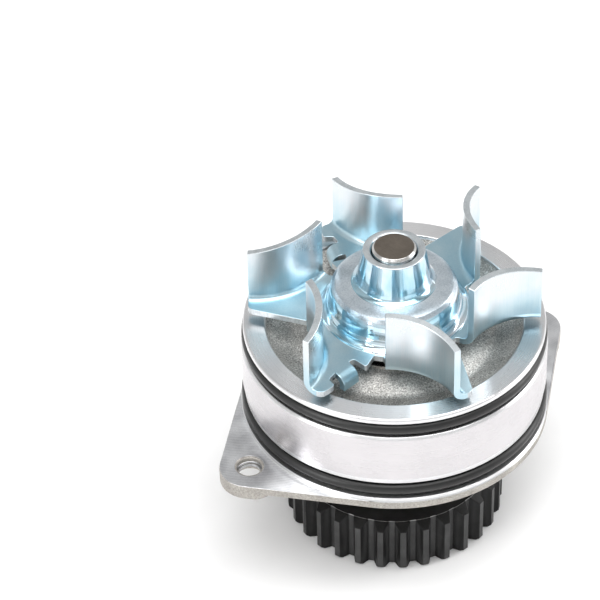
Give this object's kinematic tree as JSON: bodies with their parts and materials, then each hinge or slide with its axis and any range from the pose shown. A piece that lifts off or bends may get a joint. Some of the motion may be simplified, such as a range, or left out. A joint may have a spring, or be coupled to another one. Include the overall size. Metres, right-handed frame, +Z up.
{
  "type": "engine water pump",
  "caption": "Insert water pump: eared flange and O-ringed aluminium spigot, with a stamped vaned impeller on top and a black chain sprocket below.",
  "frame": {"origin": "on the shaft's axis in the seating face of the flange, midway between the two threaded ears' holes", "axes": "+Z up the shaft towards the impeller, +X through one threaded ear, +Y through the ear with the plain hole"},
  "size_m": [0.125, 0.1095, 0.1011],
  "materials": {
    "cast_aluminium": "turned bright on the spigot, sand-rough in the dish and on the flange's edge",
    "seal_rubber": "smooth black, slightly oiled",
    "bearing_steel": "ground",
    "shaft_steel": "ground, brownish end face",
    "polished_steel": "polished",
    "cage_polyamide": "moulded",
    "zinc_plate": "bright zinc plated with a blue passivated tint",
    "stainless_sheet": "drawn sheet",
    "carbon": "lapped carbon graphite",
    "ceramic": "lapped silicon carbide",
    "black_oxide": "satin black oxide on sintered steel"
  },
  "bodies": {
    "housing": {"pump_body": "cast_aluminium", "o_ring_upper": "seal_rubber", "o_ring_lower": "seal_rubber", "bearing_outer_ring": "bearing_steel", "bearing_seal_upper": "seal_rubber", "bearing_seal_lower": "seal_rubber", "seal_cup": "stainless_sheet", "seal_bellows": "seal_rubber", "seal_spring": "stainless_sheet", "seal_spring_washer": "stainless_sheet", "seal_carbon_ring": "carbon"},
    "rotor": {"pump_shaft": "shaft_steel", "impeller": "zinc_plate", "drive_sprocket": "black_oxide", "seal_mating_ring": "ceramic", "mating_ring_boot": "seal_rubber", "seal_sleeve": "stainless_sheet"},
    "ball_set": {"bearing_balls": "polished_steel", "ball_cage": "cage_polyamide"},
    "roller_set": {"bearing_rollers": "polished_steel", "roller_cage": "cage_polyamide"}
  },
  "joints": [
    {"name": "rotor_spin", "type": "hinge", "parent": "housing", "child": "rotor", "pos_m": [0, 0, 0], "axis": [0, 0, 1], "continuous": true},
    {"name": "ball_orbit", "type": "hinge", "parent": "housing", "child": "ball_set", "pos_m": [0, 0, 0.0065], "axis": [0, 0, 1], "continuous": true},
    {"name": "roller_orbit", "type": "hinge", "parent": "housing", "child": "roller_set", "pos_m": [0, 0, -0.011], "axis": [0, 0, 1], "continuous": true}
  ],
  "couplings": [
    {"joint": "ball_orbit", "follows": "rotor_spin", "ratio": 0.3441},
    {"joint": "roller_orbit", "follows": "rotor_spin", "ratio": 0.381}
  ]
}
